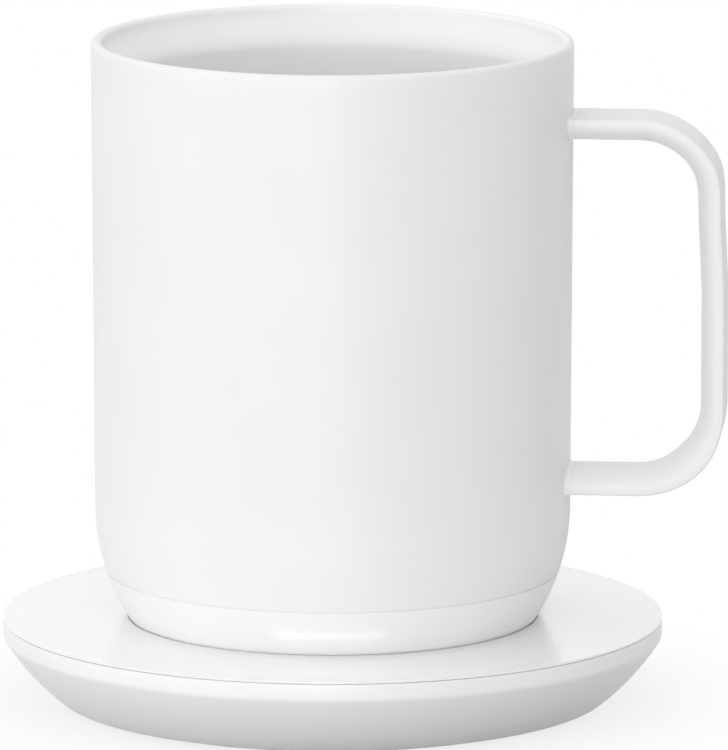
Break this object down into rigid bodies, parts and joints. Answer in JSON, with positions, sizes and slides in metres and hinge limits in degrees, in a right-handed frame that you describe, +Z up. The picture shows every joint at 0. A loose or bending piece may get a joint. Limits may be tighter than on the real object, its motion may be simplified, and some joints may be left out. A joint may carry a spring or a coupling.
{
  "type": "self-heating mug with charging coaster",
  "caption": "White double-walled heated mug with a strap handle and a status light, standing in the seat of a round charging coaster with spring contact pins.",
  "frame": {"origin": "centre of the coaster's pad, on the surface that it stands on", "axes": "+Z up along the axis of mug and coaster, +X along the handle, -Y towards the status light, +Y towards the power inlet"},
  "size_m": [0.1205, 0.11, 0.1112],
  "materials": {
    "white_coating": "satin white coating on thin steel",
    "white_plastic": "satin white moulded plastic",
    "grey_plastic": "satin light grey plastic",
    "black_plastic": "matte black moulded plastic",
    "dark_silicone": "soft dark silicone",
    "pale_silicone": "soft pale grey silicone",
    "contact_gold": "plated contact metal",
    "plain_steel": "plain steel",
    "circuit_board": "green solder mask",
    "light_source": "clear cast resin",
    "clear_acrylic": "clear acrylic",
    "cell_pouch": "laminated foil pouch",
    "lead_insulation": "red insulated lead",
    "insulation_felt": "pressed fibre felt",
    "heater_foil": "amber film with etched foil"
  },
  "bodies": {
    "coaster": {"coaster_top": "white_plastic", "coaster_bowl": "white_plastic", "coaster_pad": "pale_silicone", "coaster_screws": "plain_steel", "coaster_board": "circuit_board", "board_screws": "plain_steel", "pin_carrier": "black_plastic", "pin_barrels": "contact_gold", "inner_pin_spring": "plain_steel", "outer_pin_spring": "plain_steel", "dc_jack": "black_plastic", "dc_jack_pin": "contact_gold"},
    "mug": {"outer_shell": "white_coating", "inner_vessel": "white_coating", "handle": "white_coating", "base_housing": "white_plastic", "base_seal": "dark_silicone", "foot_ring": "pale_silicone", "bottom_cover": "white_plastic", "cover_gasket": "dark_silicone", "inner_contact_ring": "contact_gold", "outer_contact_ring": "contact_gold", "button_seal": "dark_silicone", "chassis": "black_plastic", "weld_bosses": "plain_steel", "chassis_screws": "plain_steel", "base_screws": "plain_steel", "main_board": "circuit_board", "board_parts": "black_plastic", "tact_switch": "black_plastic", "status_led": "light_source", "light_pipe": "clear_acrylic", "battery_cells": "cell_pouch", "battery_leads": "lead_insulation", "insulation_disc": "insulation_felt", "heater": "heater_foil", "temperature_sensors": "black_plastic"},
    "power_button": {"button_cap": "grey_plastic", "switch_plunger": "black_plastic"},
    "inner_pin": {"inner_pin": "contact_gold"},
    "outer_pin": {"outer_pin": "contact_gold"}
  },
  "joints": [
    {"name": "mug_lift", "type": "slide", "parent": "coaster", "child": "mug", "axis": [0, 0, 1], "range_m": [0, 0.06]},
    {"name": "power_button_press", "type": "slide", "parent": "mug", "child": "power_button", "axis": [0, 0, 1], "range_m": [0, 0.0005], "stiffness_N_per_m": 2000, "springref_m": -0.0003},
    {"name": "inner_pin_press", "type": "slide", "parent": "coaster", "child": "inner_pin", "axis": [0, 0, 1], "range_m": [-0.001, 0], "stiffness_N_per_m": 400, "springref_m": 0.001, "deforming": ["inner_pin_spring"]},
    {"name": "outer_pin_press", "type": "slide", "parent": "coaster", "child": "outer_pin", "axis": [0, 0, 1], "range_m": [-0.001, 0], "stiffness_N_per_m": 400, "springref_m": 0.001, "deforming": ["outer_pin_spring"]}
  ]
}
